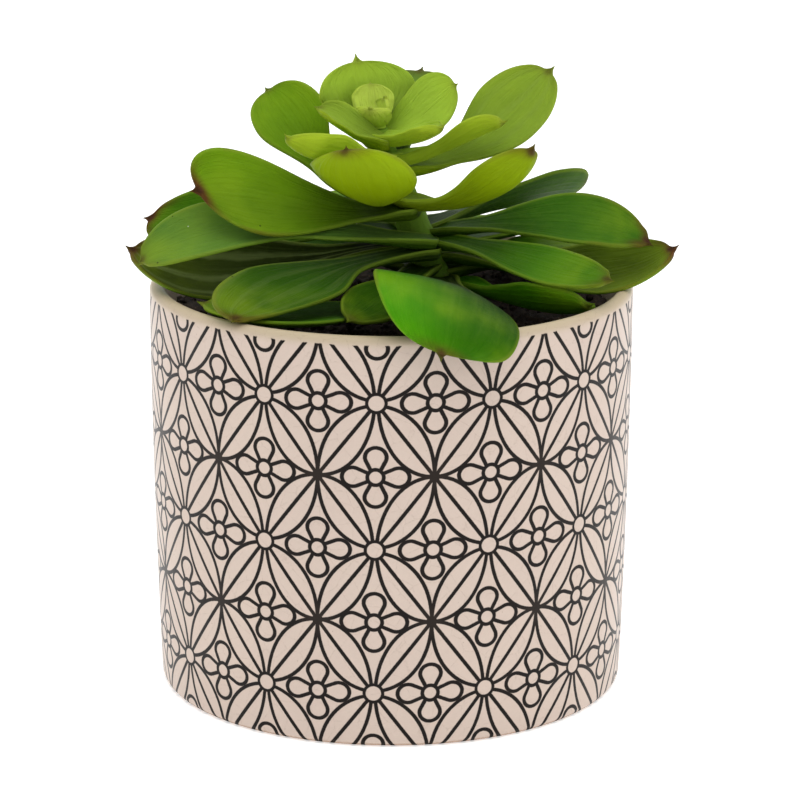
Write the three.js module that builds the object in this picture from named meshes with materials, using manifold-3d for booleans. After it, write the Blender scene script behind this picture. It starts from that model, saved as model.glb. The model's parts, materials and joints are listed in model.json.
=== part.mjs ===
// Potted aeonium: a rosette of fleshy spoon-shaped leaves on a short stem, in a glazed ceramic pot.
// Millimetres, +Z up. The origin is the centre of the pot's flat base; -Y is the front.
import * as THREE from "three";
import { mergeVertices } from "three/addons/utils/BufferGeometryUtils.js";
import Module from "manifold-3d";

// ---------- driving dimensions ----------

const POT_HEIGHT = 102;
const LIP_RADIUS = 60; // outside of the lip
const FOOT_NARROWING = 1.9; // how much less the outside radius is at the base
const WALL = 4;
const FLOOR = 5;
const FOOT_ROUND = 2; // radius of the bottom edge
const LIP_ROUND = 1.9;
const POT_SIDES = 56;
const WALL_HEIGHTS = [25, 50, 75]; // where the slight curve of the wall has its points
const ROUND_STEPS = 3; // of each rounded edge

const CLEARANCE = 0.3; // between pieces that touch
const SOIL_LEVEL = 94;
const SOIL_RINGS = 6;
const SOIL_LUMP = 1; // height of the lumps of the soil's surface
// Three crossing waves make the lumps: radians for each millimetre, and where the first and last begin.
const LUMP_WAVES = { x: 0.21, y: 0.17, slantX: 0.11, slantY: -0.24, start: 1, slantStart: 2 };
const SLANT_SHARE = 0.6; // height of the slanted wave against the others

const STEM_FOOT = 58; // height of its lower end, deep in the soil
const STEM_TIP = 140;
const STEM_X = 13; // where it stands in the soil
const STEM_BEND = 88; // height at which it begins to bend to the left
const STEM_BEND_RISE = 16; // height over which it bends
const STEM_LEAN = 0.385; // sideways run for each millimetre of rise above that
const STEM_RADIUS = 4.6;
const STEM_TOP_RADIUS = 3;
const STEM_NARROWING = 25; // length at the top over which it narrows
const STEM_SIDES = 12;
const STEM_STEPS = 10;
const HOLE_STEPS = 6;
const HOLE_ABOVE = 6; // how far the cutter of the stem's hole stands above the soil's mean level

// Leaf cross-sections
const STALK_HALF_WIDTH = 3.4;
const STALK_THICKNESS = 3;
const STALK_CUP = 50; // half-angle of the trough along the stalk, in degrees
const BLADE_THICKNESS = 2;
const EDGE_THICKNESS = 0.8;
const POINT_HALF_WIDTH = 0.5; // of the short hard point at the leaf's tip
const POINT_LENGTH = 2.2;
const BLADE_FROM = 0.5; // share of the length at which the section has become all blade
const THIN_BELOW = 4; // half width under which a section thins to its edge thickness
const TIGHTEST = 0.6; // least radius of the arch's lower face
const FLATTEST = 0.01; // least half-angle of the arch, in radians

// The grid of a leaf, and the fine steps in which its midrib is worked out
const ACROSS = 4;
const ALONG = 11;
const MIDRIB_STEPS = 60;
const CROWDING = 1.5; // power that brings the sections closer together towards the round end
const ROLLED_BY = 0.4; // share of the length by which a leaf has its full roll

// Each leaf: the height at which it leaves the stem, its azimuth there (0 is +X, 90 the back, 270 the front),
// length, half width, pitch above level at the root, middle and tip, turn of the azimuth towards the tip,
// roll of the blade (positive tips its upper face to the right, seen from the root), and cup, the half-angle
// of the blade's arched section, below zero where its edges turn down. stalk is the share of the length that
// is stalk, and tip the sharpness of the blade's end: 0.5 is round. widest is the share of the blade at which
// it is widest. bend above 1 puts off the change of pitch towards the tip. skew carries the blade's right
// side further out and its left side back, as a share of the distance from the midrib. root is the azimuth
// of the root on the stem, where it isn't the leaf's own. What a leaf leaves out it has from the defaults.
const LEAF_DEFAULTS = { roll: 0, turn: 0, stalk: 0.2, widest: 0.6, tip: 0.5, bend: 1, skew: 0 };
const LEAVES = [
  // crown
  { name: "leaf_crown_back", z: 138, az: 118, turn: 10, length: 18, width: 14.3, pitch: [60, 72, 75],
    cup: 25, stalk: 0 },
  { name: "leaf_crown_right_back", z: 137.3, az: 34, length: 20.8, width: 6.6, pitch: [35, 33, 25],
    roll: 50, cup: 25, stalk: 0, skew: -0.3 },
  { name: "leaf_crown_outer_right_back", z: 132.8, az: 70, length: 26, width: 10, pitch: [35, 44, 35],
    cup: 25, stalk: 0.25 },
  { name: "leaf_crown_left", z: 137.5, root: 270, az: 175, length: 17, width: 5, pitch: [20, 33, 25],
    roll: -25, cup: 60, stalk: 0.1 },
  { name: "leaf_crown_right_front", z: 137.8, root: 290, az: 335, length: 16, width: 6,
    pitch: [0, 16, 40], cup: 60, stalk: 0.1 },
  { name: "leaf_crown_front_left", z: 133.2, root: 250, az: 200, length: 25, width: 9.5,
    pitch: [4, 12, 50], roll: 18, cup: 60, stalk: 0, widest: 0.5 },
  { name: "leaf_crown_right", z: 132.5, root: 340, az: 356, length: 26, width: 6.5, pitch: [10, 25, 22],
    roll: -15, cup: 70, stalk: 0.3 },
  // upper tier
  { name: "leaf_upper_left_back", z: 120, root: 150, az: 170, turn: -47, length: 45, width: 9.5,
    pitch: [5, 45, 22], roll: -35, cup: 30, stalk: 0.4 },
  { name: "leaf_upper_right", z: 129, az: 20, length: 44, width: 9.7, pitch: [5, 35, 45], roll: 45,
    cup: 30 },
  { name: "leaf_upper_front", z: 124.5, root: 238, az: 246, length: 33, width: 16.5,
    pitch: [-10, 30, 85], roll: -8, cup: 35, stalk: 0.1, skew: -0.2 },
  { name: "leaf_upper_right_front", z: 122.5, root: 285, az: 334, length: 38, width: 8,
    pitch: [-5, 27, 58], roll: -30, cup: 40 },
  { name: "leaf_upper_back", z: 126, az: 98, length: 34, width: 11, pitch: [30, 35, 35], cup: 30 },
  // middle tier
  { name: "leaf_middle_big_left", z: 120, root: 270, az: 191, length: 52.2, width: 10.8,
    pitch: [-2, 13, 2], roll: -55, cup: 20, widest: 0.75, tip: 0.4, skew: 0.5 },
  { name: "leaf_middle_long_left", z: 112.6, root: 285, az: 196, turn: -18, length: 72, width: 8.2,
    pitch: [9, 3.5, -36], roll: -40, cup: 30, stalk: 0.4 },
  { name: "leaf_middle_far_left", z: 113, root: 178, az: 170, length: 62, width: 10, pitch: [5, 1, 1],
    roll: -60, cup: 30, skew: -0.5 },
  { name: "leaf_middle_right_upper", z: 113.5, root: 8, az: 345, turn: 12, length: 52, width: 8.3,
    pitch: [12, 3, -28], roll: 36, cup: 25, tip: 0.65 },
  { name: "leaf_middle_right", z: 111.6, root: 315, az: 328, length: 48.5, width: 6.8, pitch: [8, -8, 3],
    roll: 25, cup: 20 },
  { name: "leaf_middle_right_back", z: 114, root: 60, az: 44, length: 54, width: 10.8, pitch: [8, 1, 0],
    roll: -28, cup: 40, stalk: 0.1, skew: 0.6 },
  { name: "leaf_middle_back_right", z: 107, root: 66, az: 62, length: 52, width: 11, pitch: [0, -3, -8],
    cup: 30 },
  { name: "leaf_middle_back_left", z: 114, root: 114, az: 120, length: 54, width: 11, pitch: [5, -5, -5],
    cup: 30 },
  // lower tier
  { name: "leaf_lower_left", z: 109.3, az: 187, length: 68.5, width: 12, pitch: [3, -8, 40], roll: -42,
    cup: 55 },
  { name: "leaf_lower_front_left", z: 110, root: 285, az: 194, turn: 54, length: 64, width: 11.3,
    pitch: [0, -8, -4], roll: -15, cup: 20, stalk: 0.28, widest: 0.5, skew: 0.5 },
  { name: "leaf_lower_under_front_left", z: 99.9, root: 205, az: 251, turn: -83, length: 63, width: 13,
    pitch: [0, -0.5, 20], cup: 20 },
  { name: "leaf_lower_front", z: 102, root: 288, az: 279.5, turn: -22, length: 67, width: 18.6,
    pitch: [9, -2, -90], roll: -18, cup: -15, widest: 0.65, tip: 0.38, bend: 1.95, skew: -0.35 },
  { name: "leaf_lower_small_front", z: 104.6, root: 246, az: 243, length: 38, width: 7,
    pitch: [-4, -6, -4], roll: -22, cup: 15 },
  { name: "leaf_lower_front_right", z: 100.4, root: 350, az: 308, turn: 20, length: 40, width: 9.1,
    pitch: [2, -1, 18], roll: -31, cup: 38, tip: 0.35 },
  { name: "leaf_lower_far_right", z: 107, root: 20, az: 353, length: 57, width: 10,
    pitch: [-3, -3.5, 41], roll: 30, cup: 35 },
  { name: "leaf_lower_back_right", z: 103, az: 36, length: 44, width: 11, pitch: [2, 0, 0], cup: 30 },
  { name: "leaf_lower_back", z: 103, root: 98, az: 92, length: 48, width: 11, pitch: [5, 0, -5], cup: 30 },
  { name: "leaf_lower_back_left", z: 104, root: 152, az: 142, length: 58, width: 11, pitch: [5, 0, -10],
    cup: 30 },
];

// The innermost leaves, one closed bud on the tip of the stem. reach is from the stem's centre line.
const BUD_LEAVES = [
  { reach: 1.7, az: 108, length: 9.2, width: 5.1, pitch: [58, 72, 88], cup: 38, widest: 0.62, tip: 0.4 },
  { reach: 1.4, az: 30, length: 5.8, width: 2.8, pitch: [60, 76, 94], cup: 45, widest: 0.6, tip: 0.4 },
  { reach: 1.1, az: 256, length: 5.8, width: 4.1, pitch: [18, 46, 70], cup: 60, widest: 0.6, tip: 0.42 },
];
const BUD_LIFT = 1.6; // of the roots of those leaves above the stem's tip
const BUD_CORE_RADIUS = 2.6;
const BUD_CORE_HEIGHT = 4.5;
const BUD_CORE_NARROWING = 0.5; // share of its radius that the core loses by its top
const BUD_CORE_STEPS = 3;

// ---------- small helpers ----------

const radians = THREE.MathUtils.degToRad;
const clamp01 = (x) => Math.min(1, Math.max(0, x));
const smooth = (x) => clamp01(x) ** 2 * (3 - 2 * clamp01(x));
const mix = THREE.MathUtils.lerp;

/** The value at t of the parabola through three values at t = 0, 0.5 and 1. */
function through([first, middle, last], t) {
  return first * (1 - t) * (1 - 2 * t) + middle * 4 * t * (1 - t) + last * t * (2 * t - 1);
}

function geometryFrom(points, triangles) {
  const geometry = new THREE.BufferGeometry();
  geometry.setAttribute("position", new THREE.Float32BufferAttribute(points.flat(), 3));
  geometry.setIndex(triangles.flat());
  geometry.computeVertexNormals();
  return geometry;
}

// ---------- booleans ----------

const wasm = await Module();
wasm.setup();

function solidOf(geometry) {
  const bare = geometry.clone();
  bare.deleteAttribute("normal");
  bare.deleteAttribute("uv");
  const merged = mergeVertices(bare, 1e-4);
  return new wasm.Manifold(
    new wasm.Mesh({
      numProp: 3,
      vertProperties: new Float32Array(merged.attributes.position.array),
      triVerts: new Uint32Array(merged.index.array),
    }),
  );
}

function geometryOf(solid) {
  const mesh = solid.getMesh();
  const geometry = new THREE.BufferGeometry();
  geometry.setAttribute("position", new THREE.BufferAttribute(new Float32Array(mesh.vertProperties), 3));
  geometry.setIndex(new THREE.BufferAttribute(new Uint32Array(mesh.triVerts), 1));
  geometry.computeVertexNormals();
  return geometry;
}

// ---------- materials ----------

const glaze = new THREE.MeshStandardMaterial({ color: 0xe6d6c6, roughness: 0.2, metalness: 0 });
const earth = new THREE.MeshStandardMaterial({ color: 0x2a2019, roughness: 0.95, metalness: 0 });
const stemGreen = new THREE.MeshStandardMaterial({ color: 0x3f6a16, roughness: 0.5, metalness: 0 });
const leafGreen = new THREE.MeshStandardMaterial({ color: 0x4f8a1c, roughness: 0.45, metalness: 0 });
const crownGreen = new THREE.MeshStandardMaterial({ color: 0x9cbf45, roughness: 0.45, metalness: 0 });

// ---------- pot and soil ----------

/** Outside radius of the pot's wall at height z: it narrows towards the base in a slight curve. */
const potRadius = (z) => LIP_RADIUS - FOOT_NARROWING * ((POT_HEIGHT - z) / POT_HEIGHT) ** 2;

function arcPoints(cx, cz, radius, from, to) {
  return Array.from({ length: ROUND_STEPS + 1 }, (_, i) => {
    const angle = radians(mix(from, to, i / ROUND_STEPS));
    return new THREE.Vector2(cx + radius * Math.cos(angle), cz + radius * Math.sin(angle));
  });
}

function lathe(profile, sides) {
  const geometry = new THREE.LatheGeometry(profile, sides);
  return geometry.rotateX(Math.PI / 2);
}

function potGeometry() {
  const lipCentre = LIP_RADIUS - LIP_ROUND;
  const innerLip = LIP_RADIUS - WALL + LIP_ROUND;
  const profile = [
    new THREE.Vector2(0, 0),
    ...arcPoints(potRadius(0) - FOOT_ROUND, FOOT_ROUND, FOOT_ROUND, -90, 0),
    ...WALL_HEIGHTS.map((z) => new THREE.Vector2(potRadius(z), z)),
    ...arcPoints(lipCentre, POT_HEIGHT - LIP_ROUND, LIP_ROUND, 0, 90),
    ...arcPoints(innerLip, POT_HEIGHT - LIP_ROUND, LIP_ROUND, 90, 180),
    ...WALL_HEIGHTS.toReversed().map((z) => new THREE.Vector2(potRadius(z) - WALL, z)),
    new THREE.Vector2(potRadius(FLOOR) - WALL, FLOOR),
    new THREE.Vector2(0, FLOOR),
  ];
  return lathe(profile, POT_SIDES);
}

/** Height of the soil's lumpy surface. */
function soilHeight(x, y) {
  const wave = LUMP_WAVES;
  const crossed = Math.sin(x * wave.x + wave.start) * Math.cos(y * wave.y);
  const slanted = Math.sin(x * wave.slantX + y * wave.slantY + wave.slantStart);
  return SOIL_LEVEL + SOIL_LUMP * (crossed + SLANT_SHARE * slanted);
}

function soilGeometry() {
  const bottom = FLOOR + CLEARANCE;
  const radiusAt = (z) => potRadius(z) - WALL - CLEARANCE;
  const edge = radiusAt(SOIL_LEVEL);
  const profile = [
    new THREE.Vector2(0, bottom),
    new THREE.Vector2(radiusAt(bottom), bottom),
    ...WALL_HEIGHTS.map((z) => new THREE.Vector2(radiusAt(z), z)),
  ];
  for (let i = SOIL_RINGS; i >= 0; i--) profile.push(new THREE.Vector2((edge * i) / SOIL_RINGS, SOIL_LEVEL));
  const geometry = lathe(profile, POT_SIDES);
  const position = geometry.attributes.position;
  for (let i = 0; i < position.count; i++) {
    if (position.getZ(i) > WALL_HEIGHTS.at(-1) + 1) {
      position.setZ(i, soilHeight(position.getX(i), position.getY(i)));
    }
  }
  return geometry;
}

// ---------- stem ----------

/** The stem's centre at height z: upright in the soil, then a soft bend and a straight lean to the left. */
function stemCentre(z) {
  const bending = Math.min(STEM_BEND_RISE, Math.max(0, z - STEM_BEND));
  const leaning = Math.max(0, z - STEM_BEND - STEM_BEND_RISE);
  return new THREE.Vector3(STEM_X - STEM_LEAN * (bending ** 2 / (2 * STEM_BEND_RISE) + leaning), 0, z);
}

function stemRadius(z) {
  return mix(STEM_RADIUS, STEM_TOP_RADIUS, smooth((z - STEM_TIP + STEM_NARROWING) / STEM_NARROWING));
}

/** A round tube in level slices, so that every slice is a true circle seen from above. */
function tubeGeometry(heights, centreAt, radiusAt, sides) {
  const points = [];
  const triangles = [];
  for (const z of heights) {
    const centre = centreAt(z);
    for (let k = 0; k < sides; k++) {
      const angle = (2 * Math.PI * k) / sides;
      points.push([centre.x + radiusAt(z) * Math.cos(angle), centre.y + radiusAt(z) * Math.sin(angle), z]);
    }
  }
  for (let i = 0; i + 1 < heights.length; i++) {
    for (let k = 0; k < sides; k++) {
      const [a, b] = [i * sides + k, i * sides + ((k + 1) % sides)];
      triangles.push([a, b, b + sides], [a, b + sides, a + sides]);
    }
  }
  const last = (heights.length - 1) * sides;
  for (let k = 1; k + 1 < sides; k++) triangles.push([0, k + 1, k], [last, last + k, last + k + 1]);
  return geometryFrom(points, triangles);
}

function levels(from, to, steps) {
  return Array.from({ length: steps + 1 }, (_, i) => mix(from, to, i / steps));
}

function stemGeometry() {
  return tubeGeometry(levels(STEM_FOOT, STEM_TIP, STEM_STEPS), stemCentre, stemRadius, STEM_SIDES);
}

/** The plain round hole that the stem stands in, open at the soil's surface. */
function stemHole() {
  const heights = levels(STEM_FOOT - CLEARANCE, SOIL_LEVEL + HOLE_ABOVE, HOLE_STEPS);
  return tubeGeometry(heights, stemCentre, () => STEM_RADIUS + CLEARANCE, STEM_SIDES);
}

// ---------- leaves ----------

/** Half width of a leaf at the share t of its length: stalk, then a spoon-shaped blade with a round end. */
function leafHalfWidth(leaf, t) {
  const along = clamp01((t - leaf.stalk) / (1 - leaf.stalk));
  if (along < leaf.widest) return mix(STALK_HALF_WIDTH, leaf.width, smooth(along / leaf.widest));
  const out = (along - leaf.widest) / (1 - leaf.widest);
  return Math.max(POINT_HALF_WIDTH * 2, leaf.width * (1 - out ** 2) ** leaf.tip);
}

/** How far from the stem's centre a stalk's root is, so that its end keeps clear by "clear" as it passes. */
function rootReach(clear, askew) {
  const half = (STALK_HALF_WIDTH * Math.sin(radians(STALK_CUP))) / radians(STALK_CUP);
  const sideways = clear * Math.tan(askew);
  if (sideways <= half) return clear / Math.cos(askew);
  return half * Math.sin(askew) + Math.sqrt(clear ** 2 - (half * Math.cos(askew)) ** 2);
}

/** The leaf's midrib from the stem outwards: points with their tangent, side and upper directions. */
function midrib(leaf) {
  const rootAngle = radians(leaf.root ?? leaf.az);
  const leaning = STEM_LEAN * Math.abs(Math.cos(rootAngle));
  const tilt = (STALK_THICKNESS / 2) * (Math.abs(Math.sin(radians(leaf.pitch[0]))) + leaning);
  const askew = Math.asin(Math.abs(Math.sin(rootAngle - radians(leaf.az))));
  const reach = leaf.reach ?? rootReach(stemRadius(leaf.z) + CLEARANCE + tilt, askew);
  const point = new THREE.Vector3(Math.cos(rootAngle), Math.sin(rootAngle), 0)
    .multiplyScalar(reach)
    .add(stemCentre(leaf.z));
  const frames = [];
  for (let i = 0; i <= MIDRIB_STEPS; i++) {
    const t = i / MIDRIB_STEPS;
    const pitch = radians(through(leaf.pitch, t ** leaf.bend));
    const azimuth = radians(leaf.az + leaf.turn * t);
    const roll = radians(leaf.roll * smooth(t / ROLLED_BY));
    const tangent = new THREE.Vector3(Math.cos(azimuth), Math.sin(azimuth), 0)
      .multiplyScalar(Math.cos(pitch))
      .add(new THREE.Vector3(0, 0, Math.sin(pitch)));
    const level = new THREE.Vector3(Math.sin(azimuth), -Math.cos(azimuth), 0);
    const upright = level.clone().cross(tangent);
    const side = level.clone().multiplyScalar(Math.cos(roll)).addScaledVector(upright, -Math.sin(roll));
    const up = upright.clone().multiplyScalar(Math.cos(roll)).addScaledVector(level, Math.sin(roll));
    frames.push({ point: point.clone(), tangent, side, up });
    point.addScaledVector(tangent, leaf.length / MIDRIB_STEPS);
  }
  return frames;
}

function frameAt(frames, t) {
  const place = clamp01(t) * MIDRIB_STEPS;
  const i = Math.min(MIDRIB_STEPS - 1, Math.floor(place));
  const share = place - i;
  const between = (key) => frames[i][key].clone().lerp(frames[i + 1][key], share);
  return { point: between("point"), tangent: between("tangent"), side: between("side"), up: between("up") };
}

/** One arched section across the leaf: its upper points, then its lower ones, from side to side. */
function leafSection(leaf, frames, t) {
  const beyond = Math.max(0, t - 1) * leaf.length;
  const frame = frameAt(frames, t);
  const centre = frame.point.addScaledVector(frame.tangent, beyond);
  const half = beyond > 0 ? POINT_HALF_WIDTH : leafHalfWidth(leaf, t);
  const bladeShare = smooth(t / BLADE_FROM);
  const middle = beyond > 0 ? EDGE_THICKNESS : mix(STALK_THICKNESS, BLADE_THICKNESS, bladeShare);
  const thinning = Math.min(1, half / THIN_BELOW);
  const arch = radians(mix(STALK_CUP, leaf.cup, bladeShare));
  const bent = Math.min(Math.max(Math.abs(arch), FLATTEST), half / (middle / 2 + TIGHTEST));
  const cup = arch < 0 ? -bent : bent;
  const upper = [];
  const lower = [];
  for (let k = 0; k <= ACROSS; k++) {
    const u = (2 * k) / ACROSS - 1;
    const angle = cup * u;
    const radius = half / cup;
    const thickness = mix(EDGE_THICKNESS, mix(EDGE_THICKNESS, middle, thinning), 1 - u * u);
    const surface = centre
      .clone()
      .addScaledVector(frame.side, radius * Math.sin(angle))
      .addScaledVector(frame.tangent, leaf.skew * bladeShare * radius * Math.sin(angle))
      .addScaledVector(frame.up, radius * (1 - Math.cos(angle)));
    const normal = frame.up
      .clone()
      .multiplyScalar(Math.cos(angle))
      .addScaledVector(frame.side, -Math.sin(angle));
    upper.push(surface.clone().addScaledVector(normal, thickness / 2).toArray());
    lower.push(surface.clone().addScaledVector(normal, -thickness / 2).toArray());
  }
  return [...upper, ...lower];
}

function leafGeometry(leaf) {
  const frames = midrib(leaf);
  const shares = Array.from({ length: ALONG + 1 }, (_, i) => 1 - (1 - i / ALONG) ** CROWDING);
  shares.push(1 + POINT_LENGTH / leaf.length);
  const points = shares.flatMap((t) => leafSection(leaf, frames, t));
  const row = ACROSS + 1;
  const ring = 2 * row;
  const triangles = [];
  const quad = (a, b, c, d) => triangles.push([a, b, c], [a, c, d]);
  for (let i = 0; i + 1 < shares.length; i++) {
    const here = i * ring;
    const next = here + ring;
    for (let k = 0; k < ACROSS; k++) {
      quad(here + k, here + k + 1, next + k + 1, next + k);
      quad(here + row + k, next + row + k, next + row + k + 1, here + row + k + 1);
    }
    quad(here, next, next + row, here + row);
    quad(here + ACROSS, here + row + ACROSS, next + row + ACROSS, next + ACROSS);
  }
  const last = (shares.length - 1) * ring;
  for (let k = 0; k < ACROSS; k++) {
    quad(k, row + k, row + k + 1, k + 1);
    quad(last + k, last + k + 1, last + row + k + 1, last + row + k);
  }
  return geometryFrom(points, triangles);
}

/** The bud: a short round core that stands on the stem's tip, and its leaves, all one body. */
function budGeometry() {
  const tip = stemCentre(STEM_TIP);
  const heights = levels(tip.z + CLEARANCE, tip.z + BUD_CORE_HEIGHT, BUD_CORE_STEPS);
  const lost = (z) => BUD_CORE_NARROWING * smooth((z - tip.z) / BUD_CORE_HEIGHT);
  const radiusAt = (z) => BUD_CORE_RADIUS * (1 - lost(z));
  const core = solidOf(tubeGeometry(heights, () => tip, radiusAt, STEM_SIDES));
  return geometryOf(
    BUD_LEAVES.reduce((bud, leaf) => {
      const whole = { ...LEAF_DEFAULTS, ...leaf, z: tip.z, stalk: 0 };
      return bud.add(solidOf(leafGeometry(whole).translate(0, 0, BUD_LIFT)));
    }, core),
  );
}

// ---------- assembly ----------

const plant = new THREE.Group();

function add(name, geometry, material) {
  const mesh = new THREE.Mesh(geometry, material);
  mesh.name = name;
  plant.add(mesh);
}

add("pot", potGeometry(), glaze);
add("soil", geometryOf(solidOf(soilGeometry()).subtract(solidOf(stemHole()))), earth);
add("stem", stemGeometry(), stemGreen);
add("crown_bud", budGeometry(), crownGreen);
for (const leaf of LEAVES) {
  const material = leaf.name.startsWith("leaf_crown") ? crownGreen : leafGreen;
  add(leaf.name, leafGeometry({ ...LEAF_DEFAULTS, ...leaf }), material);
}

export default plant;
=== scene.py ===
import json
import math

import bmesh
import bpy
import numpy as np
from mathutils import Matrix, Vector, noise

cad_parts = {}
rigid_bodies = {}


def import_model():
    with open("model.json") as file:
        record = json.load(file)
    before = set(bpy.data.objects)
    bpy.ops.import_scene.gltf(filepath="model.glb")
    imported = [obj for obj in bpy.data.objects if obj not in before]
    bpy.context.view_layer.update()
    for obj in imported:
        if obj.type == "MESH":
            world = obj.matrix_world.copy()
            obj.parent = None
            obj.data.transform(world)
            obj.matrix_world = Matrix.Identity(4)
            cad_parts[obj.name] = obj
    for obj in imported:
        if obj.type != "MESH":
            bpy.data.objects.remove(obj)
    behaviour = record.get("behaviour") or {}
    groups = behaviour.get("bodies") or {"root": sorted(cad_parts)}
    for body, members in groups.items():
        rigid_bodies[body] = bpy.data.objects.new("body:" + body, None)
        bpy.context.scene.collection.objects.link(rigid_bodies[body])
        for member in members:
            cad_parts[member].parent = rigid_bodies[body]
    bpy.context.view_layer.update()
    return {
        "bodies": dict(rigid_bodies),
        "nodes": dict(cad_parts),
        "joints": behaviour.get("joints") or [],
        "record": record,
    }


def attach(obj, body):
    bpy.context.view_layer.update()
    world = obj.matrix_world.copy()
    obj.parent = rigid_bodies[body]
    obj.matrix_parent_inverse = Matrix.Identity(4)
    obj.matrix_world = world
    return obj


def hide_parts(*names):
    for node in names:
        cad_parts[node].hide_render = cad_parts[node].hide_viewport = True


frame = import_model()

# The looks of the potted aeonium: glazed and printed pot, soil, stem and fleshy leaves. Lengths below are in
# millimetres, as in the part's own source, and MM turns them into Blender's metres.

MM = 0.001
BODY = "root"

# ---------- driving dimensions, the same as the CAD part's ----------

POT_HEIGHT = 102
LIP_RADIUS = 60
FOOT_NARROWING = 1.9  # how much less the radius is at the foot
WALL = 4
FLOOR = 5
FOOT_ROUND = 2
LIP_ROUND = 1.9
CLEARANCE = 0.3
SOIL_LEVEL = 94
LUMP_WAVES = {"x": 0.21, "y": 0.17, "slant_x": 0.11, "slant_y": -0.24, "start": 1, "slant_start": 2}
SLANT_SHARE = 0.6

STEM_FOOT = 58
STEM_TIP = 140
STEM_X = 13
STEM_BEND = 88  # height where it starts to bend,
STEM_BEND_RISE = 16  # and over which it bends
STEM_LEAN = 0.385  # sideways for each millimetre up
STEM_RADIUS = 4.6
STEM_TOP_RADIUS = 3
STEM_NARROWING = 25  # height of the top that narrows

STALK_HALF_WIDTH = 3.4
STALK_THICKNESS = 3
STALK_CUP = 50  # degrees that each half of the stalk's arch turns
BLADE_THICKNESS = 2
EDGE_THICKNESS = 0.8
BLADE_FROM = 0.5  # share of the length where the stalk's section has become the blade's
THIN_BELOW = 4  # half width under which a leaf is thinner
TIGHTEST = 0.6  # inner radius that an arch keeps
FLATTEST = 0.01  # radians that each half of an arch turns at least
ROLLED_BY = 0.4  # share of the length where a leaf has its whole roll

# Leaf colours as seen in even light, sRGB: upper face, under face. The crown's under face is lightened as
# painted light against the shade from above, and crown_shade is a darker copy of crown, as painted shade.
TONES = {
    "bud": ((216, 240, 98), (206, 228, 86)),
    "crown": ((172, 208, 62), (190, 218, 50)),
    "crown_shade": ((104, 140, 50), (128, 162, 36)),
    "upper": ((150, 182, 54), (160, 188, 10)),
    "bright": ((113, 157, 8), (116, 160, 6)),
    "vivid": ((83, 170, 0), (76, 150, 2)),
    "middle": ((70, 126, 6), (90, 148, 10)),
    "warm": ((98, 122, 20), (84, 132, 12)),
    "grey": ((96, 140, 50), (84, 132, 20)),
    "dark": ((60, 112, 8), (76, 130, 12)),
    "olive": ((64, 80, 22), (62, 116, 10)),
    "deep": ((48, 92, 4), (54, 98, 4)),
}
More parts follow.
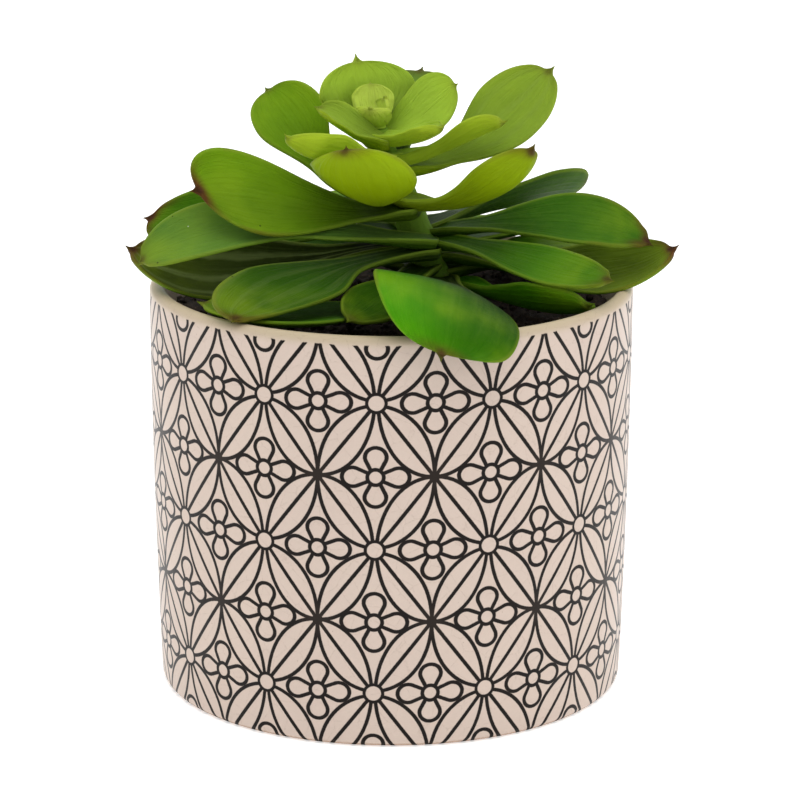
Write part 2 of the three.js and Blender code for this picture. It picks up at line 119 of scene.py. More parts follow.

# Each leaf as in the CAD part, with the look's own values: tone, blush (how brown it is round its point),
# shade (painted shade: how much darker its stalk is), dark (where along it that painted shade starts to fade
# and where it ends), dusk (painted shade: how much darker its left side is), bloom (how strong its pale
# streaks of painted sheen are), folds (depth of the long creases of its upper face, in millimetres) and point
# (size of its fine point).
LEAF_DEFAULTS = {
    "roll": 0, "turn": 0, "stalk": 0.2, "widest": 0.6, "tip": 0.5, "bend": 1, "skew": 0,
    "blush": 0.3, "shade": 0.6, "dark": (0.05, 0.85), "side_shade": 0, "sheen_streaks": 0, "folds": 0.12, "point": 1,
}
LEAVES = [
    # crown
    dict(name="leaf_crown_back", z=138, az=118, turn=10, length=18, width=14.3, pitch=(60, 72, 75), cup=25,
         stalk=0, tone="crown", blush=0.05),
    dict(name="leaf_crown_right_back", z=137.3, az=34, length=20.8, width=6.6, pitch=(35, 33, 25), roll=50,
         cup=25, stalk=0, skew=-0.3, tone="crown", blush=0.05, shade=0.1, point=0.6),
    dict(name="leaf_crown_outer_right_back", z=132.8, az=70, length=26, width=10, pitch=(35, 44, 35),
         cup=25, stalk=0.25, tone="crown_shade", shade=0.4),
    dict(name="leaf_crown_left", z=137.5, root=270, az=175, length=17, width=5, pitch=(20, 33, 25),
         roll=-25, cup=60, stalk=0.1, tone="upper", blush=0.05, shade=0.3, point=0.7),
    dict(name="leaf_crown_right_front", z=137.8, root=290, az=335, length=16, width=6, pitch=(0, 16, 40),
         cup=60, stalk=0.1, tone="crown", blush=0.05, shade=0.05, point=0.7),
    dict(name="leaf_crown_front_left", z=133.2, root=250, az=200, length=25, width=9.5, pitch=(4, 12, 50),
         roll=18, cup=60, stalk=0, widest=0.5, tone="crown", blush=0.05, shade=0, point=0.7),
    dict(name="leaf_crown_right", z=132.5, root=340, az=356, length=26, width=6.5, pitch=(10, 25, 22),
         roll=-15, cup=70, stalk=0.3, tone="crown", blush=0.1, shade=0.1, point=0.7),
    # upper tier
    dict(name="leaf_upper_left_back", z=120, root=150, az=170, turn=-47, length=45, width=9.5,
         pitch=(5, 45, 22), roll=-35, cup=30, stalk=0.4, tone="bright", blush=0.15, shade=0.5),
    dict(name="leaf_upper_right", z=129, az=20, length=44, width=9.7, pitch=(5, 35, 45), roll=45, cup=30,
         tone="upper", blush=0.2, shade=0.2, folds=0.25, sheen_streaks=0.1),
    dict(name="leaf_upper_front", z=124.5, root=238, az=246, length=33, width=16.5, pitch=(-10, 30, 85),
         roll=-8, cup=35, stalk=0.1, skew=-0.2, tone="upper", blush=0.4, shade=0.3, point=0.55),
    dict(name="leaf_upper_right_front", z=122.5, root=285, az=334, length=38, width=8, pitch=(-5, 27, 58),
         roll=-30, cup=40, tone="upper", blush=0.45, shade=0.45),
    dict(name="leaf_upper_back", z=126, az=98, length=34, width=11, pitch=(30, 35, 35), cup=30,
         tone="middle"),
    # middle tier
    dict(name="leaf_middle_big_left", z=120, root=270, az=191, length=52.2, width=10.8, pitch=(-2, 13, 2),
         roll=-55, cup=20, widest=0.75, tip=0.4, skew=0.5, tone="bright", blush=0.85, side_shade=0.25),
    dict(name="leaf_middle_long_left", z=112.6, root=285, az=196, turn=-18, length=72, width=8.2,
         pitch=(9, 3.5, -36), roll=-40, cup=30, stalk=0.4, tone="grey", blush=0.2, shade=0.45),
    dict(name="leaf_middle_far_left", z=113, root=178, az=170, length=62, width=10, pitch=(5, 1, 1),
         roll=-60, cup=30, skew=-0.5, tone="middle", blush=0.65),
    dict(name="leaf_middle_right_upper", z=113.5, root=8, az=345, turn=12, length=52, width=8.3,
         pitch=(12, 3, -28), roll=36, cup=25, tip=0.65, tone="dark", blush=0.65),
    dict(name="leaf_middle_right", z=111.6, root=315, az=328, length=48.5, width=6.8, pitch=(8, -8, 3),
         roll=25, cup=20, tone="middle", folds=0.2),
    dict(name="leaf_middle_right_back", z=114, root=60, az=44, length=54, width=10.8, pitch=(8, 1, 0),
         roll=-28, cup=40, stalk=0.1, skew=0.6, tone="deep", blush=0.6),
    dict(name="leaf_middle_back_right", z=107, root=66, az=62, length=52, width=11, pitch=(0, -3, -8),
         cup=30, tone="dark"),
    dict(name="leaf_middle_back_left", z=114, root=114, az=120, length=54, width=11, pitch=(5, -5, -5),
         cup=30, tone="middle"),
    # lower tier
    dict(name="leaf_lower_left", z=109.3, az=187, length=68.5, width=12, pitch=(3, -8, 40), roll=-42,
         cup=55, tone="olive", blush=0.5, folds=0.3, sheen_streaks=0.55),
    dict(name="leaf_lower_front_left", z=110, root=285, az=194, turn=54, length=64, width=11.3,
         pitch=(0, -8, -4), roll=-15, cup=20, stalk=0.28, widest=0.5, skew=0.5, tone="deep", blush=0.35,
         folds=0.2, sheen_streaks=0.12),
    dict(name="leaf_lower_under_front_left", z=99.9, root=205, az=251, turn=-83, length=63, width=13,
         pitch=(0, -0.5, 20), cup=20, tone="middle", blush=0.2),
    dict(name="leaf_lower_front", z=102, root=288, az=279.5, turn=-22, length=67, width=18.6,
         pitch=(9, -2, -90), roll=-18, cup=-15, widest=0.65, tip=0.38, bend=1.95, skew=-0.35, tone="vivid",
         blush=0.45, shade=0.95, side_shade=0.5, dark=(0.45, 1.05)),
    dict(name="leaf_lower_small_front", z=104.6, root=246, az=243, length=38, width=7, pitch=(-4, -6, -4),
         roll=-22, cup=15, tone="deep", blush=0.1, shade=0.5),
    dict(name="leaf_lower_front_right", z=100.4, root=350, az=308, turn=20, length=40, width=9.1,
         pitch=(2, -1, 18), roll=-31, cup=38, tip=0.35, tone="vivid", blush=0.15, shade=0.2),
    dict(name="leaf_lower_far_right", z=107, root=20, az=353, length=57, width=10, pitch=(-3, -3.5, 41),
         roll=30, cup=35, tone="warm", blush=0.6),
    dict(name="leaf_lower_back_right", z=103, az=36, length=44, width=11, pitch=(2, 0, 0), cup=30,
         tone="deep"),
    dict(name="leaf_lower_back", z=103, root=98, az=92, length=48, width=11, pitch=(5, 0, -5), cup=30,
         tone="deep"),
    dict(name="leaf_lower_back_left", z=104, root=152, az=142, length=58, width=11, pitch=(5, 0, -10),
         cup=30, tone="deep"),
]

BUD_LEAVES = [
    dict(reach=1.7, az=108, length=9.2, width=5.1, pitch=(58, 72, 88), cup=38, widest=0.62, tip=0.4),
    dict(reach=1.4, az=30, length=5.8, width=2.8, pitch=(60, 76, 94), cup=45, tip=0.4),
    dict(reach=1.1, az=256, length=5.8, width=4.1, pitch=(18, 46, 70), cup=60, tip=0.42),
]
BUD_LIFT = 1.6
BUD_CORE_RADIUS = 2.6
BUD_CORE_HEIGHT = 4.5
BUD_CORE_NARROWING = 0.5
BUD_CORE_RINGS = 12
BUD_CORE_SIDES = 28
BUD_CORE_MARKS = ((0.3, 0, 1), (9, 3))  # as the middle of a leaf's upper face, away from its point and margin

# ---------- small helpers ----------


def clamp01(x):
    return min(1.0, max(0.0, x))


def smooth(x):
    x = clamp01(x)
    return x * x * (3 - 2 * x)


def mix(a, b, share):
    return a + (b - a) * share


def linear(rgb):
    """sRGB, 0 to 255, as the linear colour that Blender's sockets take."""
    parts = [c / 255 for c in rgb]
    return tuple(c / 12.92 if c < 0.04045 else ((c + 0.055) / 1.055) ** 2.4 for c in parts)


def new_object(name, points, faces, material, replaced=None, marks=None):
    """A smooth-shaded mesh from points in millimetres, with its material, on the one body; the CAD part it
    replaces is hidden.
    """
    mesh = bpy.data.meshes.new(name)
    mesh.from_pydata((np.asarray(points) * MM).tolist(), [], faces)
    mesh.validate()
    for key, rows in (marks or {}).items():
        layer = mesh.attributes.new(key, "FLOAT_VECTOR", "POINT")
        layer.data.foreach_set("vector", np.asarray(rows, np.float32).ravel())
    mesh.shade_smooth()
    mesh.materials.append(material)
    item = bpy.data.objects.new(name, mesh)
    bpy.context.scene.collection.objects.link(item)
    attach(item, BODY)
    if replaced:
        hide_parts(replaced)
    return item


def ring_faces(rings, count, start=0):
    """Quads between rings of count points each, and a fan over the first and last ring."""
    faces = []
    for i in range(rings - 1):
        for k in range(count):
            a, b = start + i * count + k, start + i * count + (k + 1) % count
            faces.append((a, b, b + count, a + count))
    last = start + (rings - 1) * count
    faces.append(tuple(start + k for k in reversed(range(count))))
    faces.append(tuple(last + k for k in range(count)))
    return faces


def lumpy(point, scale, octaves=3):
    """Smooth noise of about -1 to 1 at a point in millimetres."""
    return noise.fractal(Vector(point) * scale, 1.0, 2.0, octaves)


# ---------- material graphs ----------


class Num:
    """A number in a material's graph: plain arithmetic on it adds the maths nodes."""

    def __init__(self, graph, socket):
        self.graph = graph
        self.socket = socket

    def _op(self, name, *others):
        node = self.graph.tree.nodes.new("ShaderNodeMath")
        node.operation = name
        for slot, value in zip(node.inputs, (self, *others)):
            self.graph.plug(slot, value)
        return Num(self.graph, node.outputs[0])

    def __add__(self, other):
        return self._op("ADD", other)

    def __sub__(self, other):
        return self._op("SUBTRACT", other)

    def __rsub__(self, other):
        return self._op("MULTIPLY", -1.0)._op("ADD", other)

    def __mul__(self, other):
        return self._op("MULTIPLY", other)

    def __truediv__(self, other):
        return self._op("DIVIDE", other)

    def __abs__(self):
        return self._op("ABSOLUTE")

    __radd__ = __add__
    __rmul__ = __mul__

    def over(self, other):
        """1 where this is more than other, else 0."""
        return self._op("GREATER_THAN", other)

    def least(self, other):
        return self._op("MINIMUM", other)

    def most(self, other):
        return self._op("MAXIMUM", other)

    def pingpong(self, width):
        return self._op("PINGPONG", width)

    def sine(self):
        return self._op("SINE")

    def length(self, other):
        return (self * self + other * other)._op("SQRT")

    def angle(self, other):
        return self._op("ARCTAN2", other)

    def toward(self, other, share):
        """This at share 0, other at share 1."""
        return self + (other - self) * share

    def ramp(self, low, high):
        """A smooth step from 0 at low to 1 at high."""
        node = self.graph.tree.nodes.new("ShaderNodeMapRange")
        node.interpolation_type = "SMOOTHSTEP"
        self.graph.plug(node.inputs["Value"], self)
        self.graph.plug(node.inputs["From Min"], low)
        self.graph.plug(node.inputs["From Max"], high)
        return Num(self.graph, node.outputs["Result"])


class Graph:
    """A new material and the nodes it is made of."""

    def __init__(self, name):
        self.material = bpy.data.materials.new(name)
        self.material.use_nodes = True
        self.tree = self.material.node_tree
        self.shader = next(n for n in self.tree.nodes if n.type == "BSDF_PRINCIPLED")

    def plug(self, socket, value):
        if isinstance(value, Num):
            value = value.socket
        if isinstance(value, bpy.types.NodeSocket):
            self.tree.links.new(value, socket)
        elif isinstance(value, tuple) and socket.type == "RGBA":
            socket.default_value = (*value, 1.0)
        else:
            socket.default_value = value

    def set(self, **constants):
        """Puts constants straight on the shader: keyword underscores are the socket name's spaces."""
        for key, value in constants.items():
            self.plug(self.shader.inputs[key.replace("_", " ")], value)

    def xyz(self, socket):
        node = self.tree.nodes.new("ShaderNodeSeparateXYZ")
        self.tree.links.new(socket, node.inputs[0])
        return [Num(self, out) for out in node.outputs]

    def vector(self, x, y, z):
        node = self.tree.nodes.new("ShaderNodeCombineXYZ")
        for slot, value in zip(node.inputs, (x, y, z)):
            self.plug(slot, value)
        return node.outputs[0]

    def position(self):
        """The point's place in the object, in millimetres."""
        coordinates = self.tree.nodes.new("ShaderNodeTexCoord")
        return [axis * (1 / MM) for axis in self.xyz(coordinates.outputs["Object"])]

    def attribute(self, name):
        node = self.tree.nodes.new("ShaderNodeAttribute")
        node.attribute_name = name
        return self.xyz(node.outputs["Vector"])

    def noise(self, where, scale, detail=3.0, roughness=0.5):
        """Noise of 0 to 1 at a place given in millimetres; scale is in lumps for each millimetre."""
        node = self.tree.nodes.new("ShaderNodeTexNoise")
        self.plug(node.inputs["Vector"], self.vector(*where))
        self.plug(node.inputs["Scale"], scale)
        self.plug(node.inputs["Detail"], detail)
        self.plug(node.inputs["Roughness"], roughness)
        return Num(self, node.outputs[0])

    def specks(self, where, scale, size):
        """1 in small scattered dots: size is their radius as a share of the cells they lie in."""
        node = self.tree.nodes.new("ShaderNodeTexVoronoi")
        self.plug(node.inputs["Vector"], self.vector(*where))
        self.plug(node.inputs["Scale"], scale)
        return 1.0 - Num(self, node.outputs["Distance"]).ramp(size * 0.6, size)

    def cracks(self, where, scale):
        """Distance to the nearest edge between the cells, in cells."""
        node = self.tree.nodes.new("ShaderNodeTexVoronoi")
        node.feature = "DISTANCE_TO_EDGE"
        self.plug(node.inputs["Vector"], self.vector(*where))
        self.plug(node.inputs["Scale"], scale)
        return Num(self, node.outputs["Distance"])

    def blend(self, share, first, second):
        """Colour first at share 0, second at share 1."""
        node = self.tree.nodes.new("ShaderNodeMix")
        node.data_type = "RGBA"
        self.plug(node.inputs["Factor"], share)
        colours = [s for s in node.inputs if s.type == "RGBA"]
        self.plug(colours[0], first)
        self.plug(colours[1], second)
        return next(s for s in node.outputs if s.type == "RGBA")

    def brighter(self, colour, factor):
        """A colour times a number."""
        node = self.tree.nodes.new("ShaderNodeVectorMath")
        node.operation = "SCALE"
        self.plug(node.inputs[0], colour)
        self.plug(node.inputs["Scale"], factor)
        return node.outputs[0]

    def bump(self, height, distance):
        """Relief of that height, in millimetres, on the shader's normal."""
        node = self.tree.nodes.new("ShaderNodeBump")
        self.plug(node.inputs["Height"], height)
        self.plug(node.inputs["Distance"], distance * MM)
        self.plug(self.shader.inputs["Normal"], node.outputs[0])


# ---------- the pot's glaze and print ----------

COLUMNS = 26  # of the print round the pot
COLUMN_SWING = 0.157  # how far the columns crowd towards the front, in columns
COLUMN_ZERO = -3.54  # degrees from the front to the column of rings, at half height
PRINT_TWIST = 0.0105  # degrees that the print leans round the pot, for each millimetre of height
COLUMN_WIDTH = 13.6
ROW_ZERO = 86.3  # height of the top row of rings
ROW_SPACING = 18.08
PRINT_TOP = 100.2  # height where the print ends under the lip
LINE = 0.47  # half width of a printed line
INK_EDGE = 0.09  # how softly a line ends
RING_RADIUS = 2.22
RING_LINE = 0.4  # half width of a ring's line
STAR_RADIUS = 1.35
HEART_RADIUS = 1.9  # ring in the middle of each four-petal flower
PETAL_END = 2.32  # radius of a petal's round end
PETAL_NECK = 0.9
PETAL_FROM = 1.6  # from the flower's middle to the neck's centre
PETAL_LENGTH = 3.35  # from there to the round end's centre
PETAL_SIDE_SHARE = 0.93  # widths in a flower count this much, so its side petals are longer by as much
CIRCLE_SHARE = 0.968  # radius of the big circles near the rings, as a share of what it is near the stars
STAR_REACH = 6.0  # from a star's middle to where its print is as dark as the rest
RAGGED = 0.12  # how far the ink's edges stray

# sRGB, as all the colours that follow
CLAY_DARK = (207, 188, 176)
CLAY_LIGHT = (214, 196, 182)
# the rim's tan, partly the glaze's own and partly painted shadow of the leaves over it
RIM_TAN_AND_SHADOW = (188, 172, 136)
CRAZE_BROWN = (150, 128, 112)
PIT_BROWN = (150, 128, 104)
BARE_CLAY = (150, 118, 92)
INK_DARK = (15, 7, 4)
INK_PALE = (42, 33, 27)  # near the stars


def lattice(graph, x, y, z):
    """How deep a point lies in a printed line, in millimetres, and how near it is to a star (0 to 1)."""
    leaning = (z - POT_HEIGHT / 2) * math.radians(PRINT_TWIST)
    around = x.angle(-1.0 * y) - math.radians(COLUMN_ZERO) - leaning
    column = around * (COLUMNS / math.tau) + around.sine() * COLUMN_SWING
    row = (z - ROW_ZERO) / ROW_SPACING
    across, up = column.pingpong(1.0), row.pingpong(1.0)

    # the flower nearest to the point, and the one opposite, whose circle passes between
    beside = across.over(up)
    flower_x = across.toward(1.0 - across, beside)
    flower_y = (1.0 - up).toward(up, beside)
    facing_x, facing_y = 1.0 - flower_x, 1.0 - flower_y

    # big circles round each flower, a little smaller near the rings, and the straight lines between them
    to_star = ((across + up) * 0.5).ramp(0.05, 0.8)
    reach = facing_x.length(facing_y)
    slope = (facing_x / COLUMN_WIDTH).length(facing_y / ROW_SPACING) / reach
    circle = abs(reach - (CIRCLE_SHARE + to_star * (1 - CIRCLE_SHARE))) / slope
    straight = abs(across - up) * (COLUMN_WIDTH * ROW_SPACING / math.hypot(COLUMN_WIDTH, ROW_SPACING))
    lines = circle.least(straight) - LINE

    # petals: a round end that narrows towards the flower's heart
    wide, tall = flower_x * COLUMN_WIDTH, flower_y * ROW_SPACING
    heart = wide.length(tall)
    side = wide * PETAL_SIDE_SHARE
    out, off = side.most(tall) - PETAL_FROM, side.least(tall)
    fall = (PETAL_NECK - PETAL_END) / PETAL_LENGTH
    rise = math.sqrt(1 - fall * fall)
    flank = off * rise + out * fall - PETAL_NECK
    end = off.length(out - PETAL_LENGTH) - PETAL_END
    petal = abs(flank.toward(end, (out * rise - off * fall).over(rise * PETAL_LENGTH)))
    flower = (petal - LINE).most(HEART_RADIUS - heart).least(abs(heart - HEART_RADIUS) - LINE)

    ring = (across * COLUMN_WIDTH).length(up * ROW_SPACING)
    star = ((1.0 - across) * COLUMN_WIDTH).length((1.0 - up) * ROW_SPACING)
    ink = lines.least(flower).most(RING_RADIUS - ring).least(abs(ring - RING_RADIUS) - RING_LINE)
    return ink.least(star - STAR_RADIUS), 1.0 - star.ramp(0.5, STAR_REACH)


def glaze_material():
    graph = Graph("glaze_and_print")
    x, y, z = graph.position()
    ragged = graph.noise((x, y, z), 2.2, 2.0) - 0.5
    depth, star = lattice(graph, x, y, z)
    inked = 1.0 - (depth + ragged * RAGGED).ramp(-INK_EDGE, INK_EDGE)
    below = 1.0 - (z + ragged * 0.5).ramp(PRINT_TOP - 0.15, PRINT_TOP + 0.15)
    outside = x.length(y).ramp(LIP_RADIUS - WALL + 0.4, LIP_RADIUS - WALL + 0.8)
    inked = inked * below * outside

    # clay under the glaze: cloudy, fine-grained, tan at the rim and darkened there as painted shadow of the
    # leaves, crazed, pitted, and bare at the very foot
    cloud = graph.noise((x, y, z), 0.035, 3.0)
    grain = graph.noise((x, y, z), 1.6, 3.0)
    clay = graph.blend(cloud, linear(CLAY_DARK), linear(CLAY_LIGHT))
    clay = graph.brighter(clay, grain * 0.06 + 0.97)
    rim = z.ramp(PRINT_TOP - 1.5, POT_HEIGHT)
    clay = graph.blend(rim * 0.75, clay, linear(RIM_TAN_AND_SHADOW))
    crazed = 1.0 - graph.cracks((x + cloud * 4.0, y, z), 0.16).ramp(0.0, 0.035)
    clay = graph.blend(crazed * grain.ramp(0.4, 0.65) * 0.22, clay, linear(CRAZE_BROWN))
    pits = graph.specks((x, y, z), 0.22, 0.045)
    clay = graph.blend(pits * 0.4, clay, linear(PIT_BROWN))
    bare = 1.0 - (z + ragged * 0.8).ramp(0.5, 1.3)
    clay = graph.blend(bare * 0.6, clay, linear(BARE_CLAY))
    print_colour = graph.blend(star * 0.8, linear(INK_DARK), linear(INK_PALE))
    graph.plug(graph.shader.inputs["Base Color"], graph.blend(inked, clay, print_colour))
    graph.plug(graph.shader.inputs["Roughness"], 0.26 + grain * 0.08 + inked * 0.06 + bare * 0.4)
    graph.set(Specular_IOR_Level=0.15)
    graph.bump(cloud * 1.4 + grain * 0.05 + inked * 0.04 - crazed * 0.03, 0.6)
    return graph.material


def pot_radius(z):
    return LIP_RADIUS - FOOT_NARROWING * ((POT_HEIGHT - z) / POT_HEIGHT) ** 2


POT_SIDES = 256
ARC_STEPS = 10
WALL_STEPS = 24
MIDDLE_FLAT = 0.05  # radius of the small flat in the middle of the pot's base and floor, and of the soil


def arc(cx, cz, radius, first, last):
    """Points of a quarter round, angles in degrees."""
    angles = np.radians(np.linspace(first, last, ARC_STEPS + 1))
    return [(cx + radius * math.cos(a), cz + radius * math.sin(a)) for a in angles]


def revolve(profile, sides):
    """Rings of points round Z for a profile of radius and height."""
    angles = np.arange(sides) * (math.tau / sides)
    return [(r * math.cos(a), r * math.sin(a), z) for r, z in profile for a in angles]


def make_pot():
    """The cup: slightly curved wall, round foot edge, round lip, and the inside down to its floor."""
    heights = np.linspace(FOOT_ROUND, POT_HEIGHT - LIP_ROUND, WALL_STEPS + 1)[1:-1]
    inside = np.linspace(POT_HEIGHT - LIP_ROUND, FLOOR + FOOT_ROUND, WALL_STEPS + 1)[1:]
    profile = [(MIDDLE_FLAT, 0), (pot_radius(0) / 2, 0)]
    profile += arc(pot_radius(0) - FOOT_ROUND, FOOT_ROUND, FOOT_ROUND, -90, 0)
    profile += [(pot_radius(z), z) for z in heights]
    profile += arc(LIP_RADIUS - LIP_ROUND, POT_HEIGHT - LIP_ROUND, LIP_ROUND, 0, 90)
    profile += arc(LIP_RADIUS - WALL + LIP_ROUND, POT_HEIGHT - LIP_ROUND, LIP_ROUND, 90, 180)[1:]
    profile += [(pot_radius(z) - WALL, z) for z in inside]
    profile += [(pot_radius(FLOOR) - WALL - FOOT_ROUND, FLOOR), (MIDDLE_FLAT, FLOOR)]
    points = revolve(profile, POT_SIDES)
    return new_object("pot_glazed", points, ring_faces(len(profile), POT_SIDES), glaze_material(),
                      "pot")


# ---------- soil ----------

SOIL_RINGS = 110
SOIL_SIDES = 300
SOIL_SINK = 0.3  # how far the rough surface lies below the CAD part's smooth one
CLOD_HEIGHT = 0.9
CLOD_SCALE = 0.35  # lumps for each millimetre
GRIT_HEIGHT = 0.35
GRIT_SCALE = 1.3
GRIT_PLANE = 9  # where in the noise the grit is read, away from the clods
CRUMBS = 900
CRUMB_SIZES = (0.45, 1.5)
CRUMB_SPREAD = 0.97  # share of the soil's radius that they lie in
CRUMB_STAND = 0.4  # how far a crumb's middle is above the soil, as a share of its size
CRUMB_FLATTEST = 0.65
CRUMB_DENTS = 0.25

SOIL_DARK = (22, 15, 10)
SOIL_BROWN = (58, 41, 29)
GRIT_BROWN = (84, 62, 45)
FIBRE_TAN = (112, 84, 58)


def soil_height(x, y):
    wave = LUMP_WAVES
    crossed = math.sin(x * wave["x"] + wave["start"]) * math.cos(y * wave["y"])
    slanted = math.sin(x * wave["slant_x"] + y * wave["slant_y"] + wave["slant_start"])
    return SOIL_LEVEL + crossed + SLANT_SHARE * slanted


def soil_material():
    graph = Graph("soil")
    where = graph.position()
    lumps = graph.noise(where, 0.45, 5.0, 0.65)
    fine = graph.noise(where, 2.4, 4.0, 0.7)
    earth = graph.blend(lumps.ramp(0.35, 0.65), linear(SOIL_DARK), linear(SOIL_BROWN))
    earth = graph.blend(fine.ramp(0.5, 0.75), earth, linear(GRIT_BROWN))
    fibres = graph.specks((where[0], where[1] * 0.3, where[2]), 0.5, 0.16)
    earth = graph.blend(fibres * 0.5, earth, linear(FIBRE_TAN))
    graph.plug(graph.shader.inputs["Base Color"], earth)
    graph.plug(graph.shader.inputs["Roughness"], 0.8 + fine * 0.15)
    graph.bump(lumps * 2 + fine, 0.6)
    return graph.material


def make_soil():
    """The soil's rough bed, down to the pot's floor, and the loose crumbs on it."""
    edge = pot_radius(SOIL_LEVEL) - WALL - CLEARANCE
    foot = pot_radius(FLOOR) - WALL - CLEARANCE
    points = revolve([(MIDDLE_FLAT, FLOOR + CLEARANCE), (foot, FLOOR + CLEARANCE)], SOIL_SIDES)
    for radius in np.linspace(edge, MIDDLE_FLAT, SOIL_RINGS):
        for k in range(SOIL_SIDES):
            angle = k * math.tau / SOIL_SIDES
            x, y = radius * math.cos(angle), radius * math.sin(angle)
            clods = CLOD_HEIGHT * lumpy((x, y, 0), CLOD_SCALE, 4)
            grit = GRIT_HEIGHT * lumpy((x, y, GRIT_PLANE), GRIT_SCALE, 2)
            points.append((x, y, soil_height(x, y) - SOIL_SINK + (clods + grit)))
    material = soil_material()
    new_object("soil_bed", points, ring_faces(SOIL_RINGS + 2, SOIL_SIDES), material, "soil")

    random = np.random.default_rng(7)
    ball_points, ball_faces = crumb_ball()
    points, faces = [], []
    for _ in range(CRUMBS):
        radius = edge * CRUMB_SPREAD * math.sqrt(random.random())
        angle = math.tau * random.random()
        x, y = radius * math.cos(angle), radius * math.sin(angle)
        size = mix(*CRUMB_SIZES, random.random() ** 3)
        flattened = CRUMB_FLATTEST + (1 - CRUMB_FLATTEST) * random.random(3)
        dented = 1 + CRUMB_DENTS * random.standard_normal((len(ball_points), 1))
        centre = np.array([x, y, soil_height(x, y) - SOIL_SINK + CRUMB_STAND * size])
        faces += [tuple(v + len(points) for v in face) for face in ball_faces]
        points += (ball_points * (size * flattened * dented) + centre).tolist()
    new_object("soil_crumbs", points, faces, material)


def crumb_ball():
    """Points and faces of a small ball of unit radius."""
    shape = bmesh.new()
    bmesh.ops.create_icosphere(shape, subdivisions=1, radius=1)
    points = np.array([v.co for v in shape.verts])
    faces = [tuple(v.index for v in f.verts) for f in shape.faces]
    shape.free()
    return points, faces


# ---------- stem ----------

STEM_RINGS = 90
STEM_SIDES = 40
SCAR_SPACING = 5.2  # between the ridges where old leaves were
SCAR_DEPTH = 0.15
BARK_DEPTH = 0.12
BARK_SCALE = 0.3  # lumps for each millimetre
BARK_ROUND = 4  # radius at which the bark's lumps are read round the stem

BARK_GREEN = (62, 100, 14)
BARK_PALE = (98, 130, 36)
BARK_BROWN = (92, 74, 44)
STEM_TOP_GREEN = (124, 160, 40)


def stem_centre(z):
    """The stem's centre at height z: upright in the soil, then a soft bend and a straight lean."""
    bending = min(STEM_BEND_RISE, max(0, z - STEM_BEND))
    leaning = max(0, z - STEM_BEND - STEM_BEND_RISE)
    return np.array([STEM_X - STEM_LEAN * (bending**2 / (2 * STEM_BEND_RISE) + leaning), 0.0, z])


def stem_radius(z):
    return mix(STEM_RADIUS, STEM_TOP_RADIUS, smooth((z - STEM_TIP + STEM_NARROWING) / STEM_NARROWING))


def stem_material():
    graph = Graph("stem")
    x, y, z = graph.position()
    streaks = graph.noise((x, y, z * 0.15), 1.1, 4.0, 0.6)
    spots = graph.noise((x, y, z), 0.5, 3.0)
    bark = graph.blend(streaks, linear(BARK_GREEN), linear(BARK_PALE))
    bark = graph.blend(spots.ramp(0.55, 0.75) * 0.4, bark, linear(BARK_BROWN))
    bark = graph.blend(z.ramp(STEM_BEND + STEM_BEND_RISE, STEM_TIP) * 0.8, bark, linear(STEM_TOP_GREEN))
    graph.plug(graph.shader.inputs["Base Color"], bark)
    graph.plug(graph.shader.inputs["Roughness"], 0.5 + streaks * 0.2)
    graph.set(Specular_IOR_Level=0.1)
    graph.bump(streaks + spots, 0.3)
    return graph.material


def make_stem():
    """The stem, ringed by the scars of old leaves."""
    points = []
    for z in np.linspace(STEM_FOOT, STEM_TIP, STEM_RINGS):
        scar = SCAR_DEPTH * math.cos(math.tau * z / SCAR_SPACING)
        for k in range(STEM_SIDES):
            angle = k * math.tau / STEM_SIDES
            around = (math.cos(angle) * BARK_ROUND, math.sin(angle) * BARK_ROUND, z)
            radius = stem_radius(z) + scar - SCAR_DEPTH + BARK_DEPTH * lumpy(around, BARK_SCALE)
            points.append(stem_centre(z) + radius * np.array([math.cos(angle), math.sin(angle), 0]))
    new_object("stem_green", points, ring_faces(STEM_RINGS, STEM_SIDES), stem_material(), "stem")


# ---------- leaves ----------

ACROSS = 24  # steps across a leaf
ALONG = 70  # and along it,
CROWDING = 1.5  # which crowd towards its end by this power
POINT_STEPS = 6
POINT_REACH = 2  # how far the dark point stands beyond the blade's round end
POINT_WIDTH = 1.25  # its half width where the blade ends
POINT_TAPER = 0.75  # length over which its width falls to a third
POINT_ROOT = 4  # how far back into the blade it swells the outline
BASE_FLARE = 1.1  # how much wider a stalk grows on each side where it clasps the stem
BASE_FLARE_REACH = 11  # how far out along the stalk that is felt
HEEL_STEPS = 6  # rows of the stalk's round heel, which turns back into the stem
HEEL_BACK = 3.4  # how far behind the root it reaches
HEEL_NARROWING = 0.45
MIDRIB_STEPS = 120
EDGE_PER_WIDTH = 1.6  # a narrow leaf's edge is no thicker than this times its half width
EDGE_BULGE = 0.3  # how far the rounded edge stands out, as a share of its thickness
EDGE_MARK = 1.04  # the share across that the edge is marked with
MARGIN_WAVE = 0.35  # how far the margins stray up and down
FOLD_SEED = 3
FOLDS_FROM = 0.08  # share of the length where the folds start,
FOLDS_RISE = 0.25  # the share over which they grow to their depth,
FOLDS_FALL = 0.12  # and the share over which they fade at the end
GROOVE_DEPTH = 0.5  # of the groove over the midrib, as a share of the folds'
GROOVE_HALF_WIDTH = 0.07  # as a share of the leaf's

RIBS = 11  # radians of pale streaks of painted sheen, from the middle of a leaf that has them to its margin
END_GREEN = (140, 164, 30)
# Next, a pale film's colour: partly the wax's own and partly painted sheen.
WAX_AND_SHEEN_GREEN = (126, 152, 60)
# Next, the pale streaks' colour: painted sheen.
SHEEN_STREAK_GREEN = (134, 150, 88)
MARGIN_GREEN = (150, 176, 54)
BLUSH_BROWN = (92, 46, 24)
POINT_BROWN = (74, 46, 26)
SPECK_DARK = (26, 30, 12)
DUST_PALE = (212, 218, 196)


